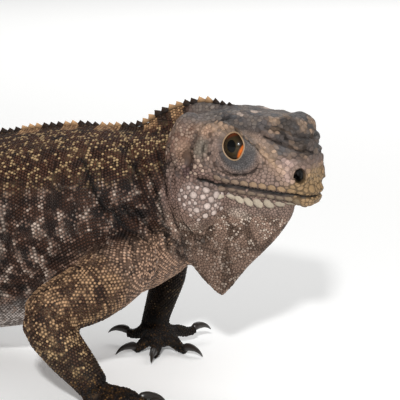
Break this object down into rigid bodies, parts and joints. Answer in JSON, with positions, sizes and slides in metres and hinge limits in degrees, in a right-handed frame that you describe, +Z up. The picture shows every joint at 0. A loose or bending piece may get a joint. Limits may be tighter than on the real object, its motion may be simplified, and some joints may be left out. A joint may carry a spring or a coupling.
{
  "type": "rock iguana",
  "caption": "Life-size still of a large rock iguana with a low crest, a hanging throat pouch, clawed feet and a long tail laid to its left.",
  "frame": {"origin": "middle of the underside of the whole animal's box, on the floor", "axes": "+X toward the head along the body, +Y to the animal's left, +Z up"},
  "size_m": [0.8246, 0.4672, 0.164],
  "materials": {
    "face_hide": "scaly, matte",
    "body_hide": "scaly, matte",
    "limb_hide": "scaly, matte",
    "tail_hide": "scaly, matte",
    "claw": "smooth horn",
    "eye": "wet and clear"
  },
  "bodies": {
    "root": {"claw_front_left_1": "claw", "claw_front_left_2": "claw", "claw_front_left_3": "claw", "claw_front_left_4": "claw", "claw_front_left_5": "claw", "claw_front_right_1": "claw", "claw_front_right_2": "claw", "claw_front_right_3": "claw", "claw_front_right_4": "claw", "claw_front_right_5": "claw", "claw_hind_left_1": "claw", "claw_hind_left_2": "claw", "claw_hind_left_3": "claw", "claw_hind_left_4": "claw", "claw_hind_left_5": "claw", "claw_hind_right_1": "claw", "claw_hind_right_2": "claw", "claw_hind_right_3": "claw", "claw_hind_right_4": "claw", "claw_hind_right_5": "claw", "dewlap": "face_hide", "eye_left": "eye", "eye_right": "eye", "foot_front_left": "limb_hide", "foot_front_right": "limb_hide", "foot_hind_left": "limb_hide", "foot_hind_right": "limb_hide", "front_left_lower": "limb_hide", "front_left_upper": "limb_hide", "front_right_lower": "limb_hide", "front_right_upper": "limb_hide", "head": "face_hide", "hind_left_lower": "limb_hide", "hind_left_upper": "limb_hide", "hind_right_lower": "limb_hide", "hind_right_upper": "limb_hide", "neck": "body_hide", "tail_1": "tail_hide", "tail_2": "tail_hide", "tail_3": "tail_hide", "tail_4": "tail_hide", "tail_5": "tail_hide", "tail_6": "tail_hide", "shoulders": "body_hide", "chest": "body_hide", "belly": "body_hide", "pelvis": "body_hide", "rump": "body_hide"}
  },
  "joints": []
}
